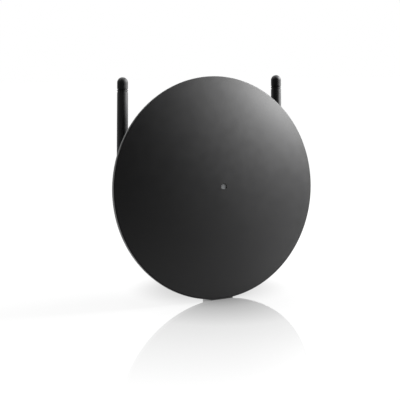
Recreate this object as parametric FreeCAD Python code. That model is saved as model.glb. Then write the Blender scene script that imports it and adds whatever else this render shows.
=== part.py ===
"""Wireless audio transmitter: a domed disc that stands on its rim, with two folding antennas.

The casing is a domed front cover, a dished rear shell with a D-shaped housing on its back,
a back cover and a stand leg. The housing holds the circuit board and its sockets, which
face down. The antennas stand on the housing's sides behind the disc.

Everything is drawn upright in the disc's own frame: x to the right, y to the back, z up,
with the origin at the centre of the front cover's rim. The finished pieces are then leaned
back and set on the floor, with the origin under the middle of the whole object.
All sizes are in millimetres and angles in degrees.
"""

import FreeCAD
import Part
import math
import os

from FreeCAD import Matrix, Vector

# Disc and its lean
disc_radius = 90.0
dome_height = 10.6
lean_deg = 3.8
rim_clearance = 0.2

# Front cover
cover_wall = 1.8
rim_wall = 3.2
rim_depth = 2.1
rim_fillet = 1.0

# Rear shell: a dish that closes the disc, and the housing's side wall
seam_gap = 0.6
shell_inset = 0.4
shell_rim_depth = 2.0
shell_wall = 1.8
dish_back = 9.0
dish_swell = 0.5
spigot_gap = 0.2
spigot_wall = 1.6
housing_radius = 62.0
housing_wall = 2.2
housing_back = 34.0
housing_fillet = 1.2
panel_z = -22.0
panel_wall = 2.0

# Flat for the controls, on top of the housing
control_flat_drop = 3.5
control_wall = 2.0
control_y = 17.6
control_flat_width = 9.0

# Back cover
back_cover_thickness = 2.2
back_cover_gap = 0.2
keyhole_x = 24.0
keyhole_z = 8.0
keyhole_entry_radius = 4.2
keyhole_slot_radius = 2.1
keyhole_rise = 9.0
vent_count = 9
vent_pitch = 6.0
vent_width = 2.2
vent_length = 12.0
vent_drop = 22.8
foot_radius = 5.0
foot_height = 1.5
foot_screw_gap = 9.6
foot_angles = [30.0, -10.0]

# Screws and the posts that they go into
screw_radius = 1.2
screw_head_radius = 2.6
screw_head_height = 2.0
screw_head_fillet = 0.6
screw_recess_reach = 1.5
screw_recess_half = 0.35
screw_recess_depth = 1.1
screw_bite = 8.0
screw_tip_gap = 1.0
board_screw_tip_gap = 0.5
post_radius = 3.2
cover_screw_inset = 4.0
cover_screw_angles = [62.2, -16.3]
shell_screw_places = [(-40.0, 22.0), (40.0, 22.0), (-40.0, -12.0), (40.0, -12.0)]
leg_screw_heights = [-32.0, -52.0]
screw_hole_gap = 0.3

# Circuit board
board_gap = 3.0
board_thickness = 1.6
board_side_gap = 11.8
board_top_gap = 8.5
board_corner_gap = 8.3
board_panel_gap = 0.7
board_screw_inset = 4.75
board_screw_angle = 48.5
low_board_screw = (5.5, -13.0)
board_hole_radius = 1.5
board_screw_skin = 1.0

# Status light
light_radius = 2.1
light_z = 1.9
light_gap = 0.1
light_recess = 0.35
light_chamfer = 0.35
guide_wall = 2.0
guide_length = 5.5
light_flange_radius = 3.6
light_flange_thickness = 1.0
led_width = 3.2
led_depth = 1.1
led_gap = 0.3
light_hole_radius = 5.0

# Sockets on the housing's flat underside
socket_gap = 0.2
rca_wall_gap = 17.0
rca_pitch = 14.0
rca_rise = 6.6
rca_radius = 4.15
rca_length = 8.5
rca_bore = 1.6
rca_liner_radius = 3.4
rca_liner_recess = 0.8
rca_liner_floor = 2.0
rca_flange_radius = 5.2
rca_flange_thickness = 1.0
rca_neck_radius = 3.9
rca_body_margin = 6.4
rca_body_depth = 12.2
rca_body_height = 10.8
aux_pitch = 10.8
aux_rise = 3.4
aux_bore = 1.8
aux_bore_length = 14.0
aux_snout_radius = 3.0
aux_snout_reach = 0.6
aux_body_width = 6.4
aux_body_depth = 6.8
aux_body_height = 15.0
optical_pitch = 16.0
optical_width = 10.4
optical_depth = 10.4
optical_height = 16.1
optical_reach = 0.6
optical_cavity = 7.8
optical_cavity_depth = 11.7
optical_lens_radius = 1.1
optical_lens_length = 2.0
shutter_thickness = 0.8
shutter_gap = 0.25
shutter_inset = 3.0
shutter_barrel_radius = 0.6
shutter_pin_radius = 0.4
shutter_pin_reach = 0.8
shutter_pin_gap = 0.06
usb_wall_gap = 17.8
usb_rise = 1.9
usb_width = 9.0
usb_height = 3.2
usb_length = 7.6
usb_reach = 0.5
usb_shell_wall = 0.3
usb_tongue_width = 6.6
usb_tongue_thickness = 0.7
usb_tongue_length = 4.8
usb_back_length = 1.6

# Pairing button and zone switch
button_x = -10.0
button_radius = 3.0
button_gap = 0.15
button_reach = 1.4
button_flange_radius = 4.3
button_flange_thickness = 1.0
button_flange_gap = 0.3
button_travel = 0.5
button_fillet = 0.3
plunger_radius = 1.7
plunger_gap = 0.1
plunger_in_body = 1.6
slider_x = 9.0
slider_width = 5.0
slider_depth = 3.2
slider_travel = 2.0
slider_reach = 1.8
slider_gap = 0.2
slider_skirt_thickness = 1.0
slider_skirt_margin = 1.4
slider_skirt_overlap = 0.8
ridge_pitch = 1.4
ridge_width = 0.5
ridge_depth = 0.4
slider_stem = 2.4
switch_width = 6.4
switch_depth = 7.2
switch_height = 6.0
switch_rise = 1.0
switch_stem_gap = 2.6
zone_switch_width = 12.0

# Parts on the board
radio_width = 24.0
radio_height = 30.0
radio_top_gap = 6.0
radio_thickness = 1.0
shield_margin = 2.0
shield_height = 2.4
shield_wall = 0.25
shield_drop = 8.0
plug_spacing = 14.0
plug_radius = 1.5
plug_height = 2.0
coax_radius = 0.9
coax_tail_reach = 3.0
chip_places = [(-28.0, 6.0, 7.0, 7.0), (-16.0, 28.0, 5.0, 6.0),
               (28.0, 8.0, 9.0, 9.0), (34.0, -3.0, 5.0, 4.0)]
chip_height = 1.2
can_places = [(-38.0, 4.0), (-38.0, 13.0), (20.0, 26.0), (20.0, 0.0), (-14.0, -4.0)]
can_radius = 3.1
can_height = 5.6

# Antennas: their hinges, and how far each whip leans in from upright
hinge_reach = 10.0
hinge_y = 26.4
hinge_z = 4.0
right_lean_in_deg = 0.2
left_lean_in_deg = 1.6
whip_length = 87.7
whip_root_radius = 4.58
whip_tip_radius = 4.27
whip_foot_gap = 0.7
whip_bore = 2.6
whip_chamfer = 0.4
groove_from_tip = 9.6
groove_pitch = 1.85
groove_width = 0.72
groove_depth = 0.42
cap_plug_length = 4.0
cap_plug_gap = 0.1
elbow_margin = 0.3
elbow_slot = 4.6
elbow_slot_start = 5.2
tongue_gap = 0.2
tongue_inset = 0.8
tongue_half_width = 3.6
pin_radius = 1.1
pin_gap = 0.08
swivel_boss_radius = 6.1
swivel_boss_reach = 0.6
swivel_boss_depth = 2.8
swivel_face_gap = 0.3
swivel_radius = 3.9
swivel_gap = 0.1
swivel_tail = 2.4
swivel_bore = 1.3
clip_thickness = 0.8
clip_gap = 0.1
clip_inner_radius = 3.2
clip_outer_radius = 5.0
clip_mouth = 4.0
element_radius = 2.3
element_wall = 0.3
element_start = 9.0
element_gap = 1.0
element_rod_radius = 0.6

# Stand leg and the pads that meet the floor
leg_half_width = 5.0
leg_wall = 2.2
leg_gap = 0.3
leg_toe_gap = 1.5
leg_top_depth = 19.0
leg_foot_depth = 25.5
leg_fillet = 1.5
pad_inset = 1.2
pad_recess = 0.8
pad_thickness = 2.0
rim_pad_half_width = 10.0
rim_pad_height = 2.0
rim_pad_margin = 0.8

# How far a cutting shape runs past what it cuts
past = 1.0

# Levels that follow from the sizes above
housing_inner_radius = housing_radius - housing_wall
control_flat_z = housing_radius - control_flat_drop
control_inside = control_flat_z - control_wall
dome_radius = (disc_radius ** 2 + dome_height ** 2) / (2 * dome_height)
dish_front = dish_back - shell_wall
shell_rim_front = rim_depth + seam_gap
shell_rim_back = shell_rim_front + shell_rim_depth
shell_rim_radius = disc_radius - shell_inset
spigot_radius = disc_radius - rim_wall - spigot_gap
back_cover_front = housing_back - back_cover_thickness
board_front = dish_back + board_gap
board_back = board_front + board_thickness
board_bottom = panel_z + panel_wall + board_panel_gap
panel_inside = panel_z + panel_wall
board_half_width = housing_inner_radius - board_side_gap
board_top = control_inside - board_top_gap
board_corner_radius = housing_inner_radius - board_corner_gap
cover_screw_circle = housing_inner_radius - cover_screw_inset
foot_circle = cover_screw_circle - foot_screw_gap
board_screw_circle = board_corner_radius - board_screw_inset
vent_z = housing_inner_radius - vent_drop
radio_z = board_top - radio_top_gap - radio_height
rca_right_x = housing_inner_radius - rca_wall_gap
rca_places = [rca_right_x - rca_pitch, rca_right_x]
aux_x = rca_places[0] - aux_pitch
usb_x = usb_wall_gap - housing_inner_radius
optical_x = usb_x + optical_pitch
hinge_x = housing_radius + hinge_reach
elbow_radius = whip_root_radius + elbow_margin
tongue_radius = elbow_radius - tongue_inset
whip_start = elbow_radius + whip_foot_gap
whip_cap_join = whip_length - groove_from_tip - groove_pitch / 2
element_length = whip_cap_join - cap_plug_length - element_gap - element_start
lean = math.radians(lean_deg)
floor_drop = disc_radius * math.cos(lean) + rim_depth * math.sin(lean) + rim_clearance

ACROSS = Vector(1, 0, 0)
BACK = Vector(0, 1, 0)
UP = Vector(0, 0, 1)
DOWN = Vector(0, 0, -1)


def block(x0, x1, y0, y1, z0, z1):
    """A box between two corners."""
    return Part.makeBox(x1 - x0, y1 - y0, z1 - z0, Vector(x0, y0, z0))


def rod(radius, length, start, along):
    """A round bar from its start point."""
    return Part.makeCylinder(radius, length, Vector(*start), along)


def tube(outer, inner, length, start, along):
    """A round bar with a bore."""
    return rod(outer, length, start, along).cut(rod(inner, length, start, along))


def join(first, *others):
    """One solid from several that touch or overlap."""
    return first.multiFuse(list(others)).removeSplitter()


def mirrored(shape):
    """The left-hand copy of a right-hand piece."""
    return shape.mirror(Vector(0, 0, 0), ACROSS)


def turned(edges, centre=Vector(0, 0, 0), axis=BACK):
    """A solid turned from a closed outline."""
    face = Part.Face(Part.Wire(edges))
    return face.revolve(centre, axis, 360)


def lines(points):
    """Straight edges through points, not closed."""
    return [Part.makeLine(a, b) for a, b in zip(points, points[1:])]


def edges_at(solid, test):
    """The solid's edges whose bounding box passes a test."""
    return [e for e in solid.Edges if test(e.BoundBox)]


def dome_y(radius, inward=0.0):
    """How far forward the dome lies at a distance from its middle."""
    return dome_radius - dome_height - math.sqrt((dome_radius - inward) ** 2 - radius ** 2)


def dome_arc(r0, r1, inward=0.0):
    """The dome's outline between two distances from its middle."""
    middle = (r0 + r1) / 2
    points = [Vector(r, dome_y(r, inward), 0) for r in (r0, middle, r1)]
    return Part.Arc(*points).toShape()


def dish_arc():
    """The dish's sloping back, from its rim to the flat in its middle, as three points."""
    rim = Vector(shell_rim_radius, shell_rim_back, 0)
    flat = Vector(housing_radius, dish_back, 0)
    middle = (rim + flat) * 0.5 + Vector(0, dish_swell, 0)
    return rim, middle, flat


def screw(x, z, seat, along, bite=screw_bite):
    """A pan-head screw with a cross recess. Its head sits on the plane y = seat."""
    start = (x, seat, z)
    head = rod(screw_head_radius, screw_head_height, start, along * -1)
    top = seat - along.y * screw_head_height
    rim = edges_at(head, lambda b: b.YLength < 0.01 and abs(b.YMin - top) < 0.01)
    head = head.makeFillet(screw_head_fillet, rim)
    low, high = sorted((top - along.y, top + along.y * screw_recess_depth))
    arms = ((screw_recess_reach, screw_recess_half), (screw_recess_half, screw_recess_reach))
    for wide, tall in arms:
        head = head.cut(block(x - wide, x + wide, low, high, z - tall, z + tall))
    return join(head, rod(screw_radius, bite, start, along))


def pairs_on_circle(radius, angles):
    """Mirrored pairs of places on a circle round the disc's middle."""
    places = []
    for angle in angles:
        x = radius * math.cos(math.radians(angle))
        z = radius * math.sin(math.radians(angle))
        places += [(-x, z), (x, z)]
    return places


def cover_screw_places():
    """The back cover's screws, just inside the housing."""
    return pairs_on_circle(cover_screw_circle, cover_screw_angles)


def board_screw_places():
    """The board's screws: two near its top corners and two low down."""
    x, z = low_board_screw
    return pairs_on_circle(board_screw_circle, [board_screw_angle]) + [(-x, z), (x, z)]


def foot_places():
    """The four feet on the back cover."""
    return pairs_on_circle(foot_circle, foot_angles)


def front_cover():
    """Domed front with its rim band, the light's guide and four screw posts."""
    inner = disc_radius - rim_wall
    shell = turned([
        dome_arc(0, disc_radius),
        *lines([Vector(disc_radius, 0, 0), Vector(disc_radius, rim_depth, 0),
                Vector(inner, rim_depth, 0), Vector(inner, dome_y(inner, cover_wall), 0)]),
        dome_arc(inner, 0, cover_wall),
        Part.makeLine(Vector(0, dome_y(0, cover_wall), 0), Vector(0, -dome_height, 0)),
    ])
    edge = edges_at(shell, lambda b: b.XLength > 2 * disc_radius - 0.1 and abs(b.YMax) < 0.01)
    shell = shell.makeFillet(rim_fillet, edge[:1])
    guide_start = -dome_height + cover_wall / 2
    hole = light_radius + light_gap
    guide = rod(hole + guide_wall, guide_length + cover_wall / 2, (0, guide_start, light_z), BACK)
    posts = []
    for x, z in shell_screw_places:
        start = dome_y(math.hypot(x, z), cover_wall / 2)
        posts.append(rod(post_radius, dish_front - start, (x, start, z), BACK))
    cover = join(shell, guide, *posts)
    reach = dome_height + dish_front
    front = dome_y(light_z)
    cuts = [rod(hole, reach, (0, front - past, light_z), BACK)]
    cuts.append(Part.makeCone(hole + light_chamfer, hole, light_chamfer,
                              Vector(0, front, light_z), BACK))
    for x, z in shell_screw_places:
        cuts.append(rod(screw_radius, screw_bite, (x, dish_front - screw_bite, z), BACK))
    cuts.append(rim_notch())
    for cutter in cuts:
        cover = cover.cut(cutter)
    return cover


def rim_notch():
    """The room for the rim pad, through the bottom of both rims."""
    return block(-rim_pad_half_width, rim_pad_half_width, rim_pad_margin,
                 shell_rim_back + past, -disc_radius - past, -disc_radius + rim_pad_height)


def housing_prism(radius, bottom, y0, y1):
    """The housing's D shape: a round prism cut flat at the bottom."""
    round_part = rod(radius, y1 - y0, (0, y0, 0), BACK)
    return round_part.common(block(-radius, radius, y0, y1, bottom, radius))


def control_flat(level):
    """The space above the flat that the controls stand in."""
    half = control_flat_width / 2 + (control_flat_z - level)
    return block(-housing_radius, housing_radius, control_y - half, control_y + half,
                 level, housing_radius + past)


def swivel_boss(length_from, length_to, radius):
    """A round boss or hole on the antenna's swivel axis, on the right side."""
    return rod(radius, length_to - length_from, (length_from, hinge_y, hinge_z), ACROSS)


def rear_shell():
    """Dish and housing wall in one moulding, with its bosses, posts and socket holes."""
    rim, middle, flat = dish_arc()
    inner = spigot_radius - spigot_wall
    slope = (dish_back - shell_rim_back) / (shell_rim_radius - housing_radius)
    inner_edge_y = shell_rim_back + slope * (shell_rim_radius - inner) - shell_wall
    spigot_top = dome_y(spigot_radius, cover_wall) + spigot_gap
    dish = turned([
        Part.Arc(rim, middle, flat).toShape(),
        *lines([flat, Vector(0, dish_back, 0), Vector(0, dish_front, 0),
                Vector(housing_radius, dish_front, 0),
                Vector(inner, inner_edge_y, 0), Vector(inner, spigot_top, 0),
                Vector(spigot_radius, spigot_top, 0),
                Vector(spigot_radius, shell_rim_front, 0),
                Vector(shell_rim_radius, shell_rim_front, 0), rim]),
    ])
    wall_front = dish_back - shell_wall / 2
    wall = housing_prism(housing_radius, panel_z, wall_front, housing_back)
    wall = wall.cut(control_flat(control_flat_z))
    outer_edges = edges_at(wall, lambda b: b.YMin > housing_back - 0.01)
    wall = wall.makeFillet(housing_fillet, outer_edges)
    room = housing_prism(housing_inner_radius, panel_inside, dish_back, housing_back + past)
    room = room.cut(control_flat(control_inside))
    wall = wall.cut(room)
    face = housing_radius + swivel_boss_reach
    inner_face = face - swivel_boss_reach - swivel_boss_depth - housing_wall
    cover_room = block(0, housing_radius - housing_wall / 2, back_cover_front, housing_back,
                       -housing_radius, housing_radius)
    bosses = [swivel_boss(inner_face, face, swivel_boss_radius).cut(cover_room)]
    bosses += [mirrored(b) for b in bosses]
    posts = [rod(post_radius, back_cover_front - wall_front, (x, wall_front, z), BACK)
             for x, z in cover_screw_places()]
    posts += [rod(post_radius, board_front - wall_front, (x, wall_front, z), BACK)
              for x, z in board_screw_places()]
    shell = join(dish, wall, *bosses, *posts)
    for cutter in shell_holes(inner_face, face):
        shell = shell.cut(cutter)
    return shell.cut(rim_notch())


def shell_holes(boss_inner_face, boss_face):
    """Every hole in the rear shell."""
    hole = swivel_boss(boss_inner_face - past, boss_face + past, swivel_radius + swivel_gap)
    cuts = [hole, mirrored(hole)]
    cuts.append(rod(light_hole_radius, 2 * shell_wall,
                    (0, dish_front - shell_wall / 2, light_z), BACK))
    for x, z in cover_screw_places():
        cuts.append(rod(screw_radius, screw_bite, (x, back_cover_front - screw_bite, z), BACK))
    for x, z in board_screw_places():
        start = dish_front + board_screw_skin
        cuts.append(rod(screw_radius, board_front - start, (x, start, z), BACK))
    clear = screw_radius + screw_hole_gap
    for x, z in shell_screw_places + [(0, z) for z in leg_screw_heights]:
        cuts.append(rod(clear, 2 * shell_wall, (x, dish_front - shell_wall / 2, z), BACK))
    below = panel_z - past
    through = panel_wall + 2 * past
    for x in rca_places:
        y = board_back + rca_rise
        cuts.append(rod(rca_neck_radius + socket_gap, through, (x, y, below), UP))
    cuts.append(rod(aux_snout_radius + socket_gap, through,
                    (aux_x, board_back + aux_rise, below), UP))
    half = optical_width / 2 + socket_gap
    cuts.append(block(optical_x - half, optical_x + half, board_back - socket_gap,
                      board_back + optical_depth + socket_gap, below, below + through))
    cuts.append(stadium(usb_width + 2 * socket_gap, usb_height + 2 * socket_gap,
                        below, below + through))
    top = control_inside - past
    deep = control_wall + 2 * past
    cuts.append(rod(button_radius + button_gap, deep, (button_x, control_y, top), UP))
    half = slider_width / 2 + slider_travel + slider_gap
    side = slider_depth / 2 + slider_gap
    cuts.append(block(slider_x - half, slider_x + half, control_y - side, control_y + side,
                      top, top + deep))
    return cuts


def keyhole(x):
    """A hanging hole: a round entry below a narrow slot."""
    deep = back_cover_thickness + 2 * past
    y = back_cover_front - past
    entry = rod(keyhole_entry_radius, deep, (x, y, keyhole_z), BACK)
    slot_end = rod(keyhole_slot_radius, deep, (x, y, keyhole_z + keyhole_rise), BACK)
    slot = block(x - keyhole_slot_radius, x + keyhole_slot_radius, y, y + deep,
                 keyhole_z, keyhole_z + keyhole_rise)
    return join(entry, slot_end, slot)


def back_cover():
    """The plate that closes the housing, with hanging holes, vents and screw holes."""
    plate = housing_prism(housing_inner_radius - back_cover_gap, panel_inside + back_cover_gap,
                          back_cover_front, housing_back)
    flat_room = control_flat(control_inside - back_cover_gap)
    plate = plate.cut(flat_room)
    cuts = [keyhole(-keyhole_x), keyhole(keyhole_x)]
    for n in range(vent_count):
        x = (n - (vent_count - 1) / 2) * vent_pitch
        half = vent_width / 2
        straight = (vent_length - vent_width) / 2
        y = back_cover_front - past
        deep = back_cover_thickness + 2 * past
        cuts.append(join(
            block(x - half, x + half, y, y + deep, vent_z - straight, vent_z + straight),
            rod(half, deep, (x, y, vent_z - straight), BACK),
            rod(half, deep, (x, y, vent_z + straight), BACK)))
    for x, z in cover_screw_places():
        clear = screw_radius + screw_hole_gap
        cuts.append(rod(clear, back_cover_thickness + 2 * past,
                        (x, back_cover_front - past, z), BACK))
    for cutter in cuts:
        plate = plate.cut(cutter)
    return plate


def leg_outline(inset):
    """The leg's side view, drawn in the plane x = 0 and drawn in by a wall."""
    front_top = Vector(0, dish_back + leg_gap + inset, panel_z - leg_gap - inset)
    knee = Vector(0, dish_back + leg_gap + inset, -housing_radius)
    toe_y = shell_rim_back + leg_toe_gap + inset
    foot_z = -disc_radius - 2 * pad_thickness
    toe = Vector(0, toe_y, -shell_rim_radius)
    front_foot = Vector(0, toe_y, foot_z)
    back_foot = Vector(0, leg_foot_depth - inset, foot_z)
    back_top = Vector(0, dish_back + leg_top_depth - inset, panel_z - leg_gap - inset)
    return [front_top, knee, toe, front_foot, back_foot, back_top, front_top]


def leg_body(half_width, inset):
    """The leg's side view, given its width."""
    face = Part.Face(Part.Wire(lines(leg_outline(inset))))
    face.translate(Vector(-half_width, 0, 0))
    return face.extrude(Vector(2 * half_width, 0, 0))


def stand_leg():
    """A hollow leg behind the disc, open at the top, with two screw posts and a pad recess."""
    body = leg_body(leg_half_width, 0)
    upright = edges_at(body, lambda b: b.XLength < 0.01 and b.ZLength > leg_top_depth
                       and b.YMax > dish_back + leg_top_depth - past)
    body = body.makeFillet(leg_fillet, upright)
    room = leg_body(leg_half_width - leg_wall, leg_wall)
    room = room.fuse(block(-leg_half_width + leg_wall, leg_half_width - leg_wall,
                           dish_back + leg_gap + leg_wall,
                           dish_back + leg_top_depth - leg_wall,
                           panel_z - leg_gap - 2 * leg_wall, panel_z))
    sole = to_disc_frame(block(-2 * disc_radius, 2 * disc_radius, -disc_radius, disc_radius,
                               pad_thickness + leg_wall - pad_recess, 3 * disc_radius))
    room = room.common(sole)
    body = body.cut(room)
    posts = [rod(post_radius, screw_bite, (0, dish_back + leg_gap, z), BACK)
             for z in leg_screw_heights]
    body = join(body, *posts)
    for z in leg_screw_heights:
        body = body.cut(rod(screw_radius, screw_bite, (0, dish_back, z), BACK))
    above_pad = to_disc_frame(block(-2 * disc_radius, 2 * disc_radius, -disc_radius, disc_radius,
                                    pad_thickness - pad_recess, 3 * disc_radius))
    return body.common(above_pad).cut(pad_block(0.0, pad_thickness))


def pad_block(bottom, top):
    """The stand pad's outline, as a block that stands on the floor."""
    foot_y = floor_y(shell_rim_back + leg_toe_gap, -disc_radius) + pad_inset
    heel_y = floor_y(leg_foot_depth, -disc_radius) - pad_inset
    half = leg_half_width - pad_inset
    return to_disc_frame(block(-half, half, foot_y, heel_y, bottom, top))


def stand_pad():
    """Rubber pad under the leg."""
    return pad_block(0.0, pad_thickness)


def rim_pad():
    """Rubber strip let into the rim, where the disc meets the floor."""
    strip = block(-rim_pad_half_width, rim_pad_half_width, rim_pad_margin,
                  shell_rim_back, -disc_radius - past, -disc_radius + rim_pad_height)
    above_floor = block(-2 * disc_radius, 2 * disc_radius, -disc_radius, disc_radius, 0, disc_radius)
    return strip.common(to_disc_frame(above_floor))


def back_feet():
    """Four rubber feet on the back cover, for use lying down."""
    return [rod(foot_radius, foot_height, (x, housing_back, z), BACK) for x, z in foot_places()]


def light_pipe():
    """Clear rod that carries the status light to the front."""
    front = dome_y(light_z) + light_recess
    flange_y = -dome_height + cover_wall + guide_length
    back = board_front - led_depth - led_gap
    flange = rod(light_flange_radius, light_flange_thickness, (0, flange_y, light_z), BACK)
    return join(rod(light_radius, back - front, (0, front, light_z), BACK), flange)


def status_led():
    """The light itself, on the front of the board."""
    half = led_width / 2
    return block(-half, half, board_front - led_depth, board_front,
                 light_z - half / 2, light_z + half / 2)


def main_board():
    """Circuit board, rounded to fit the housing."""
    plate = block(-board_half_width, board_half_width, board_front, board_back,
                  board_bottom, board_top)
    plate = plate.common(rod(board_corner_radius, board_thickness, (0, board_front, 0), BACK))
    for x, z in board_screw_places():
        plate = plate.cut(rod(board_hole_radius, board_thickness + 2 * past,
                              (x, board_front - past, z), BACK))
    return plate


def radio_board():
    """The radio's own small board, on the main board."""
    half = radio_width / 2
    return block(-half, half, board_back, board_back + radio_thickness,
                 radio_z, radio_z + radio_height)


def radio_shield():
    """Pressed steel lid over the radio."""
    half = radio_width / 2 - shield_margin
    y = board_back + radio_thickness
    z0 = radio_z + shield_margin
    z1 = radio_z + radio_height - shield_drop
    lid = block(-half, half, y, y + shield_height, z0, z1)
    inside = block(-half + shield_wall, half - shield_wall, y, y + shield_height - shield_wall,
                   z0 + shield_wall, z1 - shield_wall)
    return lid.cut(inside)


def plug_place(side):
    """Where an antenna lead plugs into the radio board."""
    return (side * plug_spacing / 2, board_back + radio_thickness,
            radio_z + radio_height - shield_drop / 2)


def coax_plugs():
    """The two small plugs that join the antenna leads to the radio."""
    return [rod(plug_radius, plug_height, plug_place(side), BACK) for side in (-1, 1)]


def rounded_path(points):
    """Straight runs joined by tangent arcs, each as large as its two runs allow."""
    edges = []
    radii = []
    start = points[0]
    for before, corner, after in zip(points, points[1:], points[2:]):
        run_in = corner - before
        run_out = after - corner
        half_turn = run_in.getAngle(run_out) / 2
        reach = 0.45 * min(run_in.Length, run_out.Length)
        radius = reach / math.tan(half_turn)
        into = Vector(run_in).normalize()
        out = Vector(run_out).normalize()
        arc_start = corner - into * reach
        arc_end = corner + out * reach
        inward = (out - into).normalize()
        depth = radius / math.cos(half_turn) - radius
        arc_middle = corner + inward * depth
        edges.append(Part.makeLine(start, arc_start))
        edges.append(Part.Arc(arc_start, arc_middle, arc_end).toShape())
        radii.append(round(radius, 1))
        start = arc_end
    edges.append(Part.makeLine(start, points[-1]))
    return Part.Wire(edges), radii


def right_coax():
    """The right antenna's lead, from the radio's plug into the swivel's bore."""
    x, y, z = plug_place(1)
    lead_y = y + plug_height / 2
    tail_x = hinge_x + swivel_tail_x() + coax_tail_reach
    points = [
        Vector(x + plug_radius, lead_y, z),
        Vector(x + 12.0, lead_y, z),
        Vector(tail_x - 26.6, lead_y + 1.0, z - 5.0),
        Vector(tail_x - 18.6, hinge_y - 4.0, z - 14.0),
        Vector(tail_x - 14.6, hinge_y, hinge_z + 8.0),
        Vector(tail_x - 12.5, hinge_y, hinge_z + 3.0),
        Vector(tail_x - 6.5, hinge_y, hinge_z),
        Vector(tail_x, hinge_y, hinge_z),
    ]
    path, radii = rounded_path(points)
    ring = Part.Wire(Part.makeCircle(coax_radius, points[0], points[1] - points[0]))
    lead = path.makePipeShell([ring], True, False)
    expected = math.pi * coax_radius ** 2 * path.Length
    print("coax radii", radii, "length", round(path.Length, 1),
          "volume share", round(lead.Volume / expected, 4))
    return lead


def board_chips():
    """Flat packages on the back of the board."""
    return [block(x - w / 2, x + w / 2, board_back, board_back + chip_height, z - h / 2, z + h / 2)
            for x, z, w, h in chip_places]


def capacitors():
    """Round cans that stand off the back of the board."""
    return [rod(can_radius, can_height, (x, board_back, z), BACK) for x, z in can_places]


def cover_screws():
    """Screws that hold the back cover."""
    bite = screw_bite + back_cover_thickness - screw_tip_gap
    return [screw(x, z, housing_back, BACK * -1, bite) for x, z in cover_screw_places()]


def shell_screws():
    """Screws that hold the rear shell to the front cover."""
    return [screw(x, z, dish_back, BACK * -1) for x, z in shell_screw_places]


def leg_screws():
    """Screws that hold the leg, from inside the disc."""
    return [screw(0, z, dish_front, BACK) for z in leg_screw_heights]


def board_screws():
    """Screws that hold the board on its posts."""
    bite = board_thickness + board_gap - board_screw_tip_gap
    return [screw(x, z, board_back, BACK * -1, bite) for x, z in board_screw_places()]


def rca_body():
    """Black block that carries both phono sockets."""
    x0 = rca_places[0] - rca_body_margin
    x1 = rca_places[-1] + rca_body_margin
    y = board_back + rca_rise
    z0 = panel_inside + socket_gap
    body = block(x0, x1, board_back, board_back + rca_body_depth, z0, z0 + rca_body_height)
    for x in rca_places:
        body = body.cut(rod(rca_neck_radius, rca_body_height / 2, (x, y, z0), UP))
    return body


def rca_barrel(x):
    """The metal collar of one phono socket, flange first."""
    y = board_back + rca_rise
    neck_top = panel_inside + socket_gap + rca_body_height / 2
    flange = rod(rca_flange_radius, rca_flange_thickness, (x, y, panel_z), DOWN)
    outer = rod(rca_radius, rca_length, (x, y, panel_z - rca_flange_thickness), DOWN)
    neck = rod(rca_neck_radius, neck_top - panel_z, (x, y, panel_z), UP)
    deep = rca_length + rca_flange_thickness + neck_top - panel_z
    return join(outer, flange, neck).cut(rod(rca_liner_radius, deep, (x, y, neck_top), DOWN))


def rca_insert(x):
    """The coloured liner of one phono socket, with its centre hole."""
    y = board_back + rca_rise
    top = panel_inside + socket_gap + rca_body_height / 2
    deep = top - panel_z + rca_flange_thickness + rca_length - rca_liner_recess
    liner = rod(rca_liner_radius, deep, (x, y, top), DOWN)
    return liner.cut(rod(rca_bore, deep, (x, y, top - rca_liner_floor), DOWN))


def aux_jack():
    """Stereo jack socket with its round snout through the panel."""
    y = board_back + aux_rise
    z0 = panel_inside + socket_gap
    half = aux_body_width / 2
    body = block(aux_x - half, aux_x + half, board_back, board_back + aux_body_depth,
                 z0, z0 + aux_body_height)
    mouth = panel_z - aux_snout_reach
    snout = rod(aux_snout_radius, z0 - mouth, (aux_x, y, mouth), UP)
    return join(body, snout).cut(rod(aux_bore, aux_bore_length, (aux_x, y, mouth), UP))


def shutter_axis():
    """The y and z of the optical shutter's hinge line."""
    y = board_back + optical_depth / 2 + optical_cavity / 2 - shutter_barrel_radius - shutter_gap
    z = panel_z - optical_reach + shutter_inset + shutter_barrel_radius
    return y, z


def optical_socket():
    """Square optical socket with a square mouth, holes for the shutter and a lens seat."""
    z0 = panel_z - optical_reach
    half = optical_width / 2
    body = block(optical_x - half, optical_x + half, board_back, board_back + optical_depth,
                 z0, z0 + optical_height)
    hollow = optical_cavity / 2
    middle = board_back + optical_depth / 2
    body = body.cut(block(optical_x - hollow, optical_x + hollow, middle - hollow,
                          middle + hollow, z0, z0 + optical_cavity_depth))
    y, z = shutter_axis()
    reach = hollow + shutter_pin_reach
    body = body.cut(rod(shutter_pin_radius + shutter_pin_gap, 2 * reach,
                        (optical_x - reach, y, z), ACROSS))
    return body.cut(rod(optical_lens_radius, optical_lens_length,
                        (optical_x, middle, z0 + optical_cavity_depth), UP))


def optical_lens():
    """Small clear lens at the back of the optical socket."""
    z0 = panel_z - optical_reach + optical_cavity_depth
    middle = board_back + optical_depth / 2
    return rod(optical_lens_radius, optical_lens_length, (optical_x, middle, z0), UP)


def optical_shutter():
    """Flap that covers the optical mouth and swings inward on its pin."""
    y, z = shutter_axis()
    half = optical_cavity / 2 - shutter_gap
    free_edge = board_back + optical_depth / 2 - half
    thick = shutter_thickness / 2
    flap = block(optical_x - half, optical_x + half, free_edge, y, z - thick, z + thick)
    barrel = rod(shutter_barrel_radius, 2 * half, (optical_x - half, y, z), ACROSS)
    reach = optical_cavity / 2 + shutter_pin_reach - shutter_gap
    pin = rod(shutter_pin_radius, 2 * reach, (optical_x - reach, y, z), ACROSS)
    return join(flap, barrel, pin)


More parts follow.
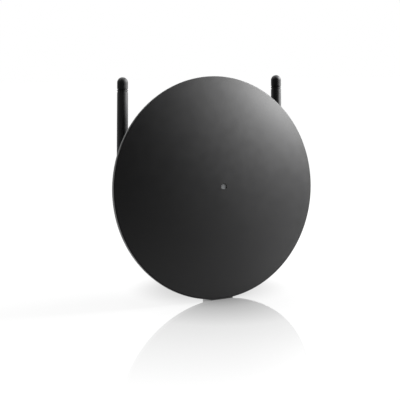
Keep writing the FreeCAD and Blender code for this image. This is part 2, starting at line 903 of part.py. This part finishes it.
def stadium(width, height, z0, z1):
    """A prism with round ends at the power socket's place."""
    y = board_back + usb_rise
    radius = height / 2
    straight = width / 2 - radius
    return join(block(usb_x - straight, usb_x + straight, y - radius, y + radius, z0, z1),
                rod(radius, z1 - z0, (usb_x - straight, y, z0), UP),
                rod(radius, z1 - z0, (usb_x + straight, y, z0), UP))


def usb_shell():
    """Steel shell of the power socket."""
    z0 = panel_z - usb_reach
    inner_width = usb_width - 2 * usb_shell_wall
    inner_height = usb_height - 2 * usb_shell_wall
    return stadium(usb_width, usb_height, z0, z0 + usb_length).cut(
        stadium(inner_width, inner_height, z0, z0 + usb_length))


def usb_tongue():
    """Plastic back and contact tongue of the power socket."""
    z1 = panel_z - usb_reach + usb_length
    back = stadium(usb_width - 2 * usb_shell_wall, usb_height - 2 * usb_shell_wall,
                   z1 - usb_back_length, z1)
    y = board_back + usb_rise
    half = usb_tongue_width / 2
    thick = usb_tongue_thickness / 2
    tongue = block(usb_x - half, usb_x + half, y - thick, y + thick,
                   z1 - usb_back_length - usb_tongue_length, z1 - usb_back_length)
    return join(back, tongue)


def switch_top():
    """The level of both switches' upper faces, at the board's top edge."""
    return board_top + switch_rise


def pair_switch():
    """The push switch under the pairing button."""
    top = switch_top()
    half = switch_width / 2
    body = block(button_x - half, button_x + half, board_back, board_back + switch_depth,
                 top - switch_height, top)
    deep = plunger_in_body + button_travel + plunger_gap
    return body.cut(rod(plunger_radius + plunger_gap, deep, (button_x, control_y, top), DOWN))


def pair_plunger():
    """The push switch's own plunger, which the button rests on."""
    top = switch_top()
    return rod(plunger_radius, plunger_in_body + switch_stem_gap,
               (button_x, control_y, top - plunger_in_body), UP)


def pair_button():
    """The button's cap, stem and flange."""
    bottom = switch_top() + switch_stem_gap
    flange_z = control_inside - button_flange_gap - button_flange_thickness
    cap = rod(button_radius, control_flat_z + button_reach - bottom,
              (button_x, control_y, bottom), UP)
    flange = rod(button_flange_radius, button_flange_thickness, (button_x, control_y, flange_z), UP)
    rim = edges_at(cap, lambda b: b.ZMin > control_flat_z + button_reach - 0.01)
    return join(cap.makeFillet(button_fillet, rim), flange)


def zone_switch():
    """The slide switch under the zone slider."""
    top = switch_top()
    half = zone_switch_width / 2
    body = block(slider_x - half, slider_x + half, board_back, board_back + switch_depth,
                 top - switch_height, top)
    run = slider_stem / 2 + slider_travel + slider_gap
    deep = slider_stem / 2 + slider_gap
    return body.cut(block(slider_x - run, slider_x + run, control_y - deep, control_y + deep,
                          top - plunger_in_body - slider_gap, top))


def zone_slider():
    """The slider's thumb piece, skirt and stem."""
    half = slider_width / 2
    deep = slider_depth / 2
    stem = slider_stem / 2
    skirt_z = control_inside - button_flange_gap - slider_skirt_thickness
    top = control_flat_z + slider_reach
    thumb = block(slider_x - half, slider_x + half, control_y - deep, control_y + deep,
                  skirt_z, top)
    for n in (-1, 0, 1):
        x = slider_x + n * ridge_pitch
        thumb = thumb.cut(block(x - ridge_width / 2, x + ridge_width / 2, control_y - deep,
                                control_y + deep, top - ridge_depth, top))
    skirt_half = half + slider_travel + slider_skirt_margin
    skirt_deep = deep + slider_gap + slider_skirt_overlap
    skirt = block(slider_x - skirt_half, slider_x + skirt_half, control_y - skirt_deep,
                  control_y + skirt_deep, skirt_z, skirt_z + slider_skirt_thickness)
    post = block(slider_x - stem, slider_x + stem, control_y - stem, control_y + stem,
                 switch_top() - plunger_in_body, skirt_z)
    return join(thumb, skirt, post)


def whip_radius(z):
    """The antenna's taper, from its root to its round tip."""
    share = (z - whip_start) / (whip_length - whip_tip_radius - whip_start)
    return whip_root_radius + share * (whip_tip_radius - whip_root_radius)


def groove(z):
    """A fine ring groove round the antenna."""
    start = (0, 0, z - groove_width / 2)
    return tube(whip_root_radius + past, whip_radius(z) - groove_depth, groove_width, start, UP)


def whip():
    """The antenna's sleeve, with the tongue that turns in the elbow. The hinge is at its origin."""
    length = whip_cap_join - whip_start
    sleeve = Part.makeCone(whip_root_radius, whip_radius(whip_cap_join), length,
                           Vector(0, 0, whip_start), UP)
    low_edge = edges_at(sleeve, lambda b: b.ZMax < whip_start + 0.01)
    sleeve = sleeve.makeChamfer(whip_chamfer, low_edge[:1])
    half = elbow_slot / 2 - tongue_gap
    tongue = rod(tongue_radius, 2 * half, (0, -half, 0), BACK)
    neck = block(-tongue_half_width, tongue_half_width, -half, half, 0, whip_start + past)
    body = join(sleeve, tongue, neck)
    body = body.cut(rod(whip_bore, whip_cap_join, (0, 0, element_start), UP))
    body = body.cut(rod(pin_radius + pin_gap, 2 * elbow_radius, (0, -elbow_radius, 0), BACK))
    return body.cut(groove(whip_length - groove_from_tip - groove_pitch))


def tip_cap():
    """The antenna's round end, plugged into the sleeve."""
    top = whip_length - whip_tip_radius
    body = Part.makeCone(whip_radius(whip_cap_join), whip_tip_radius, top - whip_cap_join,
                         Vector(0, 0, whip_cap_join), UP)
    ball = Part.makeSphere(whip_tip_radius, Vector(0, 0, top))
    plug = rod(whip_bore - cap_plug_gap, cap_plug_length, (0, 0, whip_cap_join), DOWN)
    return join(body, ball, plug).cut(groove(whip_length - groove_from_tip))


def element():
    """The brass aerial inside the sleeve: a tube round a thin rod."""
    start = (0, 0, element_start)
    return Part.makeCompound([
        tube(element_radius, element_radius - element_wall, element_length, start, UP),
        rod(element_rod_radius, element_length, start, UP)])


def hinge_pin():
    """The pin that the whip folds on."""
    reach = math.sqrt(elbow_radius ** 2 - pin_radius ** 2)
    return rod(pin_radius, 2 * reach, (0, -reach, 0), BACK)


def boss_inner_x():
    """The inner face of the housing's boss, measured from the hinge."""
    return housing_radius - swivel_boss_depth - housing_wall - hinge_x


def clip_x():
    """Where the retaining clip lies, just inside the boss."""
    return boss_inner_x() - clip_gap - clip_thickness


def swivel_tail_x():
    """The inner end of the swivel's stub."""
    return boss_inner_x() - swivel_tail


def elbow():
    """The antenna's elbow: a stub that turns in the housing and a slotted ball for the whip."""
    face = housing_radius + swivel_boss_reach + swivel_face_gap - hinge_x
    tail = swivel_tail_x()
    collar = rod(elbow_radius, -face, (face, 0, 0), ACROSS)
    ball = Part.makeSphere(elbow_radius)
    stub = rod(swivel_radius, face - tail, (tail, 0, 0), ACROSS)
    body = join(collar, ball, stub)
    half = elbow_slot / 2
    body = body.cut(block(-elbow_slot_start, 2 * elbow_radius, -half, half,
                          -2 * elbow_radius, 2 * elbow_radius))
    body = body.cut(tube(clip_outer_radius, clip_inner_radius, clip_thickness + 2 * clip_gap,
                         (clip_x() - clip_gap, 0, 0), ACROSS))
    body = body.cut(rod(swivel_bore, -elbow_slot_start - tail, (tail, 0, 0), ACROSS))
    return body.cut(rod(pin_radius, 4 * elbow_radius, (0, -2 * elbow_radius, 0), BACK))


def clip():
    """The C-shaped clip that keeps the elbow in the housing."""
    ring = tube(clip_outer_radius, clip_inner_radius, clip_thickness, (clip_x(), 0, 0), ACROSS)
    half = clip_mouth / 2
    return ring.cut(block(clip_x() - past, clip_x() + clip_thickness + past, -half, half,
                          -2 * clip_outer_radius, 0))


def antenna(side, lean_in):
    """One antenna's pieces, turned upright on the swivel and leaned in, and set at its hinge."""
    folding = {"whip": whip(), "tip_cap": tip_cap(), "element": element()}
    turning = {"elbow": elbow(), "clip": clip(), "hinge_pin": hinge_pin()}
    pieces = {}
    for name, shape in folding.items():
        pieces[name] = shape.rotated(Vector(0, 0, 0), BACK, -lean_in)
    pieces.update(turning)
    for name, shape in pieces.items():
        stood = shape.rotated(Vector(0, 0, 0), ACROSS, lean_deg)
        stood.translate(Vector(hinge_x, hinge_y, hinge_z))
        pieces[name] = stood if side == "right" else mirrored(stood)
    return pieces


def floor_y(y, z):
    """The y on the floor's own axes of a point in the disc's frame."""
    return y * math.cos(lean) + z * math.sin(lean)


def lean_matrix():
    """Leans the upright disc back and lifts it so that the floor is z = 0."""
    matrix = Matrix()
    matrix.rotateX(-lean)
    matrix.move(Vector(0, 0, floor_drop))
    return matrix


def to_disc_frame(shape):
    """Takes a shape drawn on the floor's axes into the disc's frame."""
    return shape.transformShape(lean_matrix().inverse(), True)


def sub_parts():
    """Every node's name and its solids, in the disc's frame."""
    nodes = {
        "front_cover": front_cover(),
        "rear_shell": rear_shell(),
        "back_cover": back_cover(),
        "stand_leg": stand_leg(),
        "stand_pad": stand_pad(),
        "rim_pad": rim_pad(),
        "back_feet": back_feet(),
        "light_pipe": light_pipe(),
        "status_led": status_led(),
        "main_board": main_board(),
        "radio_board": radio_board(),
        "radio_shield": radio_shield(),
        "coax_plugs": coax_plugs(),
        "board_chips": board_chips(),
        "capacitors": capacitors(),
        "board_screws": board_screws(),
        "shell_screws": shell_screws(),
        "cover_screws": cover_screws(),
        "leg_screws": leg_screws(),
        "rca_body": rca_body(),
        "rca_left_barrel": rca_barrel(rca_places[0]),
        "rca_left_insert": rca_insert(rca_places[0]),
        "rca_right_barrel": rca_barrel(rca_places[1]),
        "rca_right_insert": rca_insert(rca_places[1]),
        "aux_jack": aux_jack(),
        "optical_socket": optical_socket(),
        "optical_lens": optical_lens(),
        "optical_shutter": optical_shutter(),
        "usb_shell": usb_shell(),
        "usb_tongue": usb_tongue(),
        "pair_button": pair_button(),
        "pair_plunger": pair_plunger(),
        "pair_switch": pair_switch(),
        "zone_slider": zone_slider(),
        "zone_switch": zone_switch(),
    }
    nodes["right_coax"] = right_coax()
    nodes["left_coax"] = mirrored(nodes["right_coax"])
    for side, lean_in in (("right", right_lean_in_deg), ("left", left_lean_in_deg)):
        for name, shape in antenna(side, lean_in).items():
            nodes[side + "_" + name] = shape
    return nodes


def placed_parts():
    """The nodes leaned back and stood on the floor, and how far they moved along y."""
    stood = {}
    for name, shape in sub_parts().items():
        whole = Part.makeCompound(shape) if isinstance(shape, list) else shape
        stood[name] = whole.transformShape(lean_matrix(), True)
    shift = -Part.makeCompound(list(stood.values())).BoundBox.Center.y
    for shape in stood.values():
        shape.translate(Vector(0, shift, 0))
    return stood, shift


def main():
    os.makedirs("parts", exist_ok=True)
    stood, shift = placed_parts()
    for name, shape in stood.items():
        bad = [s for s in shape.Solids if not s.isValid() or s.Volume <= 0]
        if bad or not shape.Solids:
            print("faulty solids in", name)
        shape.exportStep("parts/" + name + ".step")
    print("nodes", len(stood), "moved along y by", round(shift, 3), "lift", round(floor_drop, 3))


main()
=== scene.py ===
"""Finishes, floor, light and camera for the wireless audio transmitter.

Sizes are in metres. The disc's front faces -Y, and the floor is at z = 0.
"""

import math

import bpy
from mathutils import Matrix, Vector

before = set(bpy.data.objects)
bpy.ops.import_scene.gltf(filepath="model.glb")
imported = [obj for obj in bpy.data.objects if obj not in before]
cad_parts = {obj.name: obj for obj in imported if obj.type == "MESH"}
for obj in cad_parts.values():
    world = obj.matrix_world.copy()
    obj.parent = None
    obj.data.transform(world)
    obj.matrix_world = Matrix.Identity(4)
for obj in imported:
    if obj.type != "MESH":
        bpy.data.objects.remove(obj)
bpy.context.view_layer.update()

# Camera, fitted to the disc's outline and its reflection in the photograph
image_size = 400
focal_pixels = 926.0
sensor_width = 36.0
camera_place = Vector((-0.3514, -0.6665, 0.1808))
camera_yaw_deg = -27.18
camera_pitch_deg = 7.676
camera_roll_deg = -0.73

# The middle of the disc's rim, and the distances from it between which its round edge and then
# its side begin
rim_centre = Vector((0.0, -0.0118, 0.0903))
edge_band = (0.0889, 0.0892)
side_band = (0.08985, 0.08998)

# Key light: a soft box at the right, so that it rakes across the dome
key_target = Vector((0.0, 0.0, 0.10))
key_azimuth_deg = 80.0
key_height_deg = 29.0
key_distance = 1.1
key_size = 0.36
key_power = 94.0

# The room: a white backdrop, with dark walls at the front and the sides and a dark ceiling
room_light = 0.30
wall_distance = 2.2
wall_height = 2.6
wall_width = 1.9
wall_azimuths = [-90.0, -45.0, 0.0, 45.0, 90.0]
ceiling_size = 6.0
ceiling_middle = -3.7
wall_grey = 0.004

# A lit card above and behind the object, which only reflections show
card_target = Vector((0.0, 0.0, 0.15))
card_azimuth_deg = -172.0
card_height_deg = 64.0
card_distance = 1.2
card_size = 1.3
card_strength = 9.0

# Floor
floor_size = 60.0
floor_diffuse = 0.03
floor_ior = 1.45
mirror_roughness = 0.04

# Painted shade on the floor: its darkest place, where the strip under the rim stands, and the
# shade behind the disc, each as centre, radii, the part of the radii at which it begins to fade
# and the light it leaves
contact_place = Vector((0.0, -0.0170, 0.0))
contact_shade = ((0.0, -0.0158, 0.0), (0.0165, 0.0048, 1.0), 0.5, 0.0)
back_shade = ((0.010, 0.025, 0.0), (0.074, 0.074, 1.0), 0.28, 0.46)

# Share of the floor's mirror image, by distance from the contact as a part of its reach
mirror_reach = 0.27
mirror_shares = [(0.0, 0.66), (0.08, 0.60), (0.31, 0.29), (0.54, 0.19), (0.70, 0.13), (0.89, 0.05),
                 (1.0, 0.0)]

# Noise: how much detail the grain and the slow patches have, and the size of the gloss's patches
# as a share of the colour's
grain_detail = 2.0
patch_detail = 3.0
gloss_patch_share = 0.6

# Clouded clear plastic, with darker streaks
plastic_ior = 1.49
plastic_clearness = 0.35
streak_size = 0.0006
streak_shade = 0.8

white_light = (1, 1, 1, 1)
quarter_turn_deg = 90


def node(tree, kind, **settings):
    """Adds a shader node and sets its plain properties."""
    made = tree.nodes.new(kind)
    for key, value in settings.items():
        setattr(made, key, value)
    return made


def blank_material(name):
    """A material with an empty tree and its output node."""
    mat = bpy.data.materials.new(name)
    mat.use_nodes = True
    mat.node_tree.nodes.clear()
    return mat, mat.node_tree, node(mat.node_tree, "ShaderNodeOutputMaterial")


def noise(tree, size, detail=grain_detail, stretch=(1, 1, 1)):
    """Noise whose grains are about the given size, on the object's own coordinates."""
    place = node(tree, "ShaderNodeTexCoord")
    mapping = node(tree, "ShaderNodeMapping")
    mapping.inputs["Scale"].default_value = stretch
    tree.links.new(place.outputs["Object"], mapping.inputs["Vector"])
    made = node(tree, "ShaderNodeTexNoise")
    made.inputs["Scale"].default_value = 1.0 / size
    made.inputs["Detail"].default_value = detail
    tree.links.new(mapping.outputs["Vector"], made.inputs["Vector"])
    return made.outputs["Fac"]


def spread(tree, source, low, high, start=0.3, end=0.7, kind="LINEAR"):
    """Maps a value from one range onto another."""
    made = node(tree, "ShaderNodeMapRange", interpolation_type=kind)
    made.inputs["From Min"].default_value = start
    made.inputs["From Max"].default_value = end
    made.inputs["To Min"].default_value = low
    made.inputs["To Max"].default_value = high
    tree.links.new(source, made.inputs["Value"])
    return made.outputs["Result"]


def two_tone(tree, source, first, second):
    """Mixes two colours by a 0 to 1 value."""
    made = node(tree, "ShaderNodeMix", data_type="RGBA")
    made.inputs["A"].default_value = (*first, 1)
    made.inputs["B"].default_value = (*second, 1)
    tree.links.new(source, made.inputs["Factor"])
    return made.outputs["Result"]


def grained(tree, colour, roughness, grain, depth, specular=0.5, metallic=0.0, variation=0.12,
            rough_variation=0.06, mottle=0.006, stretch=(1, 1, 1), coat=0.0):
    """A shader with grain in its relief, and slow changes in its colour and gloss."""
    shader = node(tree, "ShaderNodeBsdfPrincipled")
    shader.inputs["Metallic"].default_value = metallic
    shader.inputs["Specular IOR Level"].default_value = specular
    shader.inputs["Coat Weight"].default_value = coat
    slow = noise(tree, mottle, patch_detail)
    darker = [c * (1 - variation) for c in colour]
    lighter = [min(1.0, c * (1 + variation)) for c in colour]
    tree.links.new(two_tone(tree, slow, darker, lighter), shader.inputs["Base Color"])
    patches = noise(tree, mottle * gloss_patch_share)
    rough = spread(tree, patches, roughness - rough_variation, roughness + rough_variation)
    tree.links.new(rough, shader.inputs["Roughness"])
    bump = node(tree, "ShaderNodeBump")
    bump.inputs["Strength"].default_value = 1.0
    bump.inputs["Distance"].default_value = depth
    tree.links.new(noise(tree, grain, stretch=stretch), bump.inputs["Height"])
    tree.links.new(bump.outputs["Normal"], shader.inputs["Normal"])
    return shader.outputs["BSDF"]


def surface(name, colour, roughness, grain, depth, **settings):
    """A finish in one grained shader."""
    mat, tree, output = blank_material(name)
    shader = grained(tree, colour, roughness, grain, depth, **settings)
    tree.links.new(shader, output.inputs["Surface"])
    return mat


def edged(name, face, *outer):
    """A finish for the disc: a shader on its face, and others from given distances outwards."""
    mat, tree, output = blank_material(name)
    away = distance_from(tree, rim_centre)
    shader = grained(tree, **face)
    for band, finish in outer:
        mix = node(tree, "ShaderNodeMixShader")
        tree.links.new(spread(tree, away, 0.0, 1.0, *band), mix.inputs["Fac"])
        tree.links.new(shader, mix.inputs[1])
        tree.links.new(grained(tree, **finish), mix.inputs[2])
        shader = mix.outputs["Shader"]
    tree.links.new(shader, output.inputs["Surface"])
    return mat


def clear_plastic(name, colour, roughness):
    """Clouded clear plastic, with streaks inside it."""
    mat, tree, output = blank_material(name)
    shader = node(tree, "ShaderNodeBsdfPrincipled")
    shader.inputs["IOR"].default_value = plastic_ior
    shader.inputs["Transmission Weight"].default_value = plastic_clearness
    shader.inputs["Roughness"].default_value = roughness
    tone = two_tone(tree, noise(tree, streak_size), [c * streak_shade for c in colour], colour)
    tree.links.new(tone, shader.inputs["Base Color"])
    tree.links.new(shader.outputs["BSDF"], output.inputs["Surface"])
    return mat


def finish_all():
    """Gives every piece its finish."""
    front = dict(colour=(0.0022, 0.0022, 0.0025), roughness=0.485, grain=0.00022, depth=0.000006,
                 specular=0.25, rough_variation=0.02, mottle=0.012)
    rear = dict(colour=(0.009, 0.009, 0.0096), roughness=0.52, grain=0.00035, depth=0.00001,
                specular=0.32, rough_variation=0.03)
    rim = dict(colour=(0.012, 0.012, 0.0125), grain=0.00030, depth=0.000006)
    edge = dict(rim, roughness=0.72, specular=0.10)
    side = dict(rim, roughness=0.45, specular=0.85)
    casing = edged("casing_satin", front, (edge_band, edge), (side_band, side))
    shell = edged("shell_satin", rear, (edge_band, side))
    antenna_black = (0.006, 0.006, 0.0066)
    antenna = surface("antenna_satin", antenna_black, 0.58, 0.00018, 0.000006, specular=0.29,
                      stretch=(1, 1, 0.25), rough_variation=0.04)
    tip = surface("tip_matt", antenna_black, 0.66, 0.00018, 0.000006, specular=0.18)
    rubber = surface("rubber_matt", (0.020, 0.020, 0.020), 0.8, 0.0003, 0.00004)
    steel = surface("plated_steel", (0.55, 0.55, 0.56), 0.3, 0.0004, 0.000006, metallic=1.0,
                    stretch=(1, 1, 6))
    gold = surface("gold_plate", (0.83, 0.60, 0.24), 0.22, 0.0003, 0.000003, metallic=1.0)
    brass = surface("brass_tube", (0.70, 0.50, 0.22), 0.32, 0.0004, 0.000006, metallic=1.0,
                    stretch=(1, 1, 0.2))
    board = surface("board_mask", (0.012, 0.085, 0.040), 0.35, 0.0008, 0.00001, coat=0.3)
    chip = surface("chip_black", (0.014, 0.014, 0.015), 0.55, 0.0002, 0.000015)
    control = surface("control_black", (0.018, 0.018, 0.019), 0.42, 0.00022, 0.00001)
    white = surface("liner_white", (0.78, 0.78, 0.75), 0.3, 0.0005, 0.000004, variation=0.04)
    red = surface("liner_red", (0.55, 0.02, 0.02), 0.3, 0.0005, 0.000004)
    can = surface("can_aluminium", (0.75, 0.76, 0.78), 0.32, 0.0004, 0.000006, metallic=1.0)
    lead = surface("lead_black", (0.02, 0.02, 0.02), 0.45, 0.0003, 0.00001)
    light = clear_plastic("light_clouded", (0.16, 0.165, 0.17), 0.3)
    lens = clear_plastic("lens_red", (0.6, 0.05, 0.05), 0.1)
    names = {
        "front_cover": casing, "light_pipe": light, "optical_lens": lens,
        "rear_shell": shell, "back_cover": shell, "stand_leg": shell,
        "stand_pad": rubber, "rim_pad": rubber, "back_feet": rubber,
        "radio_shield": steel, "usb_shell": steel, "coax_plugs": gold,
        "rca_left_barrel": gold, "rca_right_barrel": gold,
        "rca_left_insert": white, "rca_right_insert": red,
        "main_board": board, "radio_board": board, "capacitors": can, "status_led": white,
        "pair_button": control, "zone_slider": control,
    }
    endings = {"whip": antenna, "tip_cap": tip, "elbow": antenna, "element": brass,
               "coax": lead, "screws": steel, "clip": steel, "hinge_pin": steel}
    for name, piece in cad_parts.items():
        finish = names.get(name)
        for ending, mat in endings.items():
            if finish is None and name.endswith(ending):
                finish = mat
        assign(piece, finish or chip)


def assign(piece, mat):
    """Puts a finish on a piece without touching its mesh."""
    for slot in piece.material_slots:
        slot.link = "OBJECT"
        slot.material = mat


def light_path_white(tree):
    """1 for rays from the camera, mirrors and glass, and 0 for the rest."""
    path = node(tree, "ShaderNodeLightPath")
    first = node(tree, "ShaderNodeMath", operation="MAXIMUM")
    second = node(tree, "ShaderNodeMath", operation="MAXIMUM")
    tree.links.new(path.outputs["Is Camera Ray"], first.inputs[0])
    tree.links.new(path.outputs["Is Glossy Ray"], first.inputs[1])
    tree.links.new(first.outputs[0], second.inputs[0])
    tree.links.new(path.outputs["Is Transmission Ray"], second.inputs[1])
    return second.outputs[0]


def room():
    """A white surround that lights the object softly."""
    world = bpy.data.worlds.new("surround")
    bpy.context.scene.world = world
    world.use_nodes = True
    tree = world.node_tree
    tree.nodes.clear()
    output = node(tree, "ShaderNodeOutputWorld")
    background = node(tree, "ShaderNodeBackground")
    background.inputs["Color"].default_value = white_light
    strength = spread(tree, light_path_white(tree), room_light, 1.0, 0.0, 1.0)
    tree.links.new(strength, background.inputs["Strength"])
    tree.links.new(background.outputs["Background"], output.inputs["Surface"])


def sheet(name, width, height):
    """A flat sheet, made in mesh code."""
    mesh = bpy.data.meshes.new(name)
    x, y = width / 2, height / 2
    mesh.from_pydata([(-x, -y, 0), (x, -y, 0), (x, y, 0), (-x, y, 0)], [], [(0, 1, 2, 3)])
    piece = bpy.data.objects.new(name, mesh)
    bpy.context.scene.collection.objects.link(piece)
    return piece


def distance_from(tree, point):
    """The distance from a point, in the piece's own coordinates."""
    place = node(tree, "ShaderNodeTexCoord")
    away = node(tree, "ShaderNodeVectorMath", operation="DISTANCE")
    away.inputs[1].default_value = point
    tree.links.new(place.outputs["Object"], away.inputs[0])
    return away.outputs["Value"]


def shade(tree, centre, radii, start, middle):
    """Painted shade, from a low value in the middle of an ellipse on the floor to 1 at its edge.
    """
    place = node(tree, "ShaderNodeTexCoord")
    moved = node(tree, "ShaderNodeVectorMath", operation="SUBTRACT")
    moved.inputs[1].default_value = centre
    tree.links.new(place.outputs["Object"], moved.inputs[0])
    scaled = node(tree, "ShaderNodeVectorMath", operation="DIVIDE")
    scaled.inputs[1].default_value = radii
    tree.links.new(moved.outputs["Vector"], scaled.inputs[0])
    away = node(tree, "ShaderNodeVectorMath", operation="LENGTH")
    tree.links.new(scaled.outputs["Vector"], away.inputs[0])
    return spread(tree, away.outputs["Value"], middle, 1.0, start, 1.0, "SMOOTHSTEP")


def product(tree, first, second):
    """Multiplies two values."""
    made = node(tree, "ShaderNodeMath", operation="MULTIPLY")
    tree.links.new(first, made.inputs[0])
    tree.links.new(second, made.inputs[1])
    return made.outputs[0]


def mirror_share(tree, away):
    """How much of the floor's look is its mirror image, by the distance from the contact."""
    part = spread(tree, away, 0.0, 1.0, 0.0, mirror_reach)
    made = node(tree, "ShaderNodeValToRGB")
    ramp = made.color_ramp.elements
    for position, _ in mirror_shares[1:-1]:
        ramp.new(position)
    for stop, (_, share) in zip(ramp, mirror_shares):
        stop.color = (share, share, share, 1)
    tree.links.new(part, made.inputs["Fac"])
    return made.outputs["Color"]


def floor():
    """Polished white floor, whose painted shade and share of mirror image are set by place."""
    piece = sheet("studio_floor", floor_size, floor_size)
    mat, tree, output = blank_material("floor_white")
    away = distance_from(tree, contact_place)
    plain = node(tree, "ShaderNodeBsdfPrincipled")
    plain.inputs["Base Color"].default_value = (floor_diffuse, floor_diffuse, floor_diffuse, 1)
    plain.inputs["Roughness"].default_value = 1.0
    plain.inputs["Specular IOR Level"].default_value = 0.0
    plain.inputs["Emission Color"].default_value = white_light
    # Painted shade: the floor's glow is dimmed by place near the contact and behind the disc, not
    # cast by the lamps
    painted_floor_shade = product(tree, shade(tree, *contact_shade), shade(tree, *back_shade))
    seen = product(tree, painted_floor_shade, light_path_white(tree))
    tree.links.new(seen, plain.inputs["Emission Strength"])
    mirror = node(tree, "ShaderNodeBsdfGlossy")
    mirror.inputs["Roughness"].default_value = mirror_roughness
    path = node(tree, "ShaderNodeLightPath")
    polish = node(tree, "ShaderNodeFresnel")
    polish.inputs["IOR"].default_value = floor_ior
    mirrored = node(tree, "ShaderNodeMix", data_type="FLOAT")
    tree.links.new(path.outputs["Is Camera Ray"], mirrored.inputs["Factor"])
    tree.links.new(polish.outputs["Fac"], mirrored.inputs["A"])
    tree.links.new(mirror_share(tree, away), mirrored.inputs["B"])
    mix = node(tree, "ShaderNodeMixShader")
    tree.links.new(mirrored.outputs["Result"], mix.inputs["Fac"])
    tree.links.new(plain.outputs["BSDF"], mix.inputs[1])
    tree.links.new(mirror.outputs["BSDF"], mix.inputs[2])
    tree.links.new(mix.outputs["Shader"], output.inputs["Surface"])
    piece.data.materials.append(mat)


def dark_walls():
    """The unlit sides of the studio, which only reflections show."""
    mat, tree, output = blank_material("wall_dark")
    shader = node(tree, "ShaderNodeBsdfDiffuse")
    shader.inputs["Color"].default_value = (wall_grey, wall_grey, wall_grey, 1)
    tree.links.new(shader.outputs["BSDF"], output.inputs["Surface"])
    upright = Matrix.Rotation(math.radians(quarter_turn_deg), 4, "X")
    pieces = [sheet("studio_ceiling", ceiling_size, ceiling_size)]
    pieces[0].matrix_world = Matrix.Translation(Vector((0, ceiling_middle, wall_height)))
    for azimuth in wall_azimuths:
        piece = sheet(f"studio_wall_{len(pieces)}", wall_width, wall_height)
        place = direction(azimuth, 0.0) * wall_distance + Vector((0, 0, wall_height / 2))
        turn = Matrix.Rotation(math.radians(azimuth), 4, "Z")
        piece.matrix_world = Matrix.Translation(place) @ turn @ upright
        pieces.append(piece)
    for piece in pieces:
        only_reflected(piece, mat)


def only_reflected(piece, mat):
    """Gives a piece of the studio its material, and hides it from the camera, from surfaces
    that scatter light and from shadows."""
    piece.data.materials.append(mat)
    piece.visible_camera = False
    piece.visible_diffuse = False
    piece.visible_shadow = False


def lit_card():
    """A white card whose light shows on edges that face up."""
    mat, tree, output = blank_material("card_lit")
    shader = node(tree, "ShaderNodeEmission")
    shader.inputs["Strength"].default_value = card_strength
    tree.links.new(shader.outputs["Emission"], output.inputs["Surface"])
    piece = sheet("studio_card", card_size, card_size)
    towards = direction(card_azimuth_deg, card_height_deg)
    turn = towards.to_track_quat("Z", "Y").to_matrix().to_4x4()
    piece.matrix_world = Matrix.Translation(card_target + towards * card_distance) @ turn
    only_reflected(piece, mat)


def direction(azimuth_deg, height_deg):
    """A unit vector towards a light, from -Y round to +X, and up."""
    azimuth = math.radians(azimuth_deg)
    height = math.radians(height_deg)
    flat = math.cos(height)
    return Vector((math.sin(azimuth) * flat, -math.cos(azimuth) * flat, math.sin(height)))


def soft_box(name, target, azimuth_deg, height_deg, distance, size, power):
    """A square area light aimed at a target."""
    data = bpy.data.lights.new(name, "AREA")
    data.shape = "SQUARE"
    data.size = size
    data.energy = power
    lamp = bpy.data.objects.new(name, data)
    towards = direction(azimuth_deg, height_deg)
    lamp.location = target + towards * distance
    lamp.rotation_euler = towards.to_track_quat("Z", "Y").to_euler()
    bpy.context.scene.collection.objects.link(lamp)


def camera():
    """The camera at the photograph's angle."""
    data = bpy.data.cameras.new("camera")
    data.sensor_width = sensor_width
    data.lens = focal_pixels / image_size * sensor_width
    view = bpy.data.objects.new("camera", data)
    yaw = Matrix.Rotation(math.radians(camera_yaw_deg), 4, "Z")
    pitch = Matrix.Rotation(math.radians(quarter_turn_deg - camera_pitch_deg), 4, "X")
    roll = Matrix.Rotation(math.radians(camera_roll_deg), 4, "Z")
    view.matrix_world = Matrix.Translation(camera_place) @ yaw @ pitch @ roll
    bpy.context.scene.collection.objects.link(view)
    bpy.context.scene.camera = view


finish_all()
room()
floor()
dark_walls()
lit_card()
soft_box("key_light", key_target, key_azimuth_deg, key_height_deg, key_distance, key_size,
         key_power)
camera()
bpy.context.scene.view_settings.view_transform = "Standard"
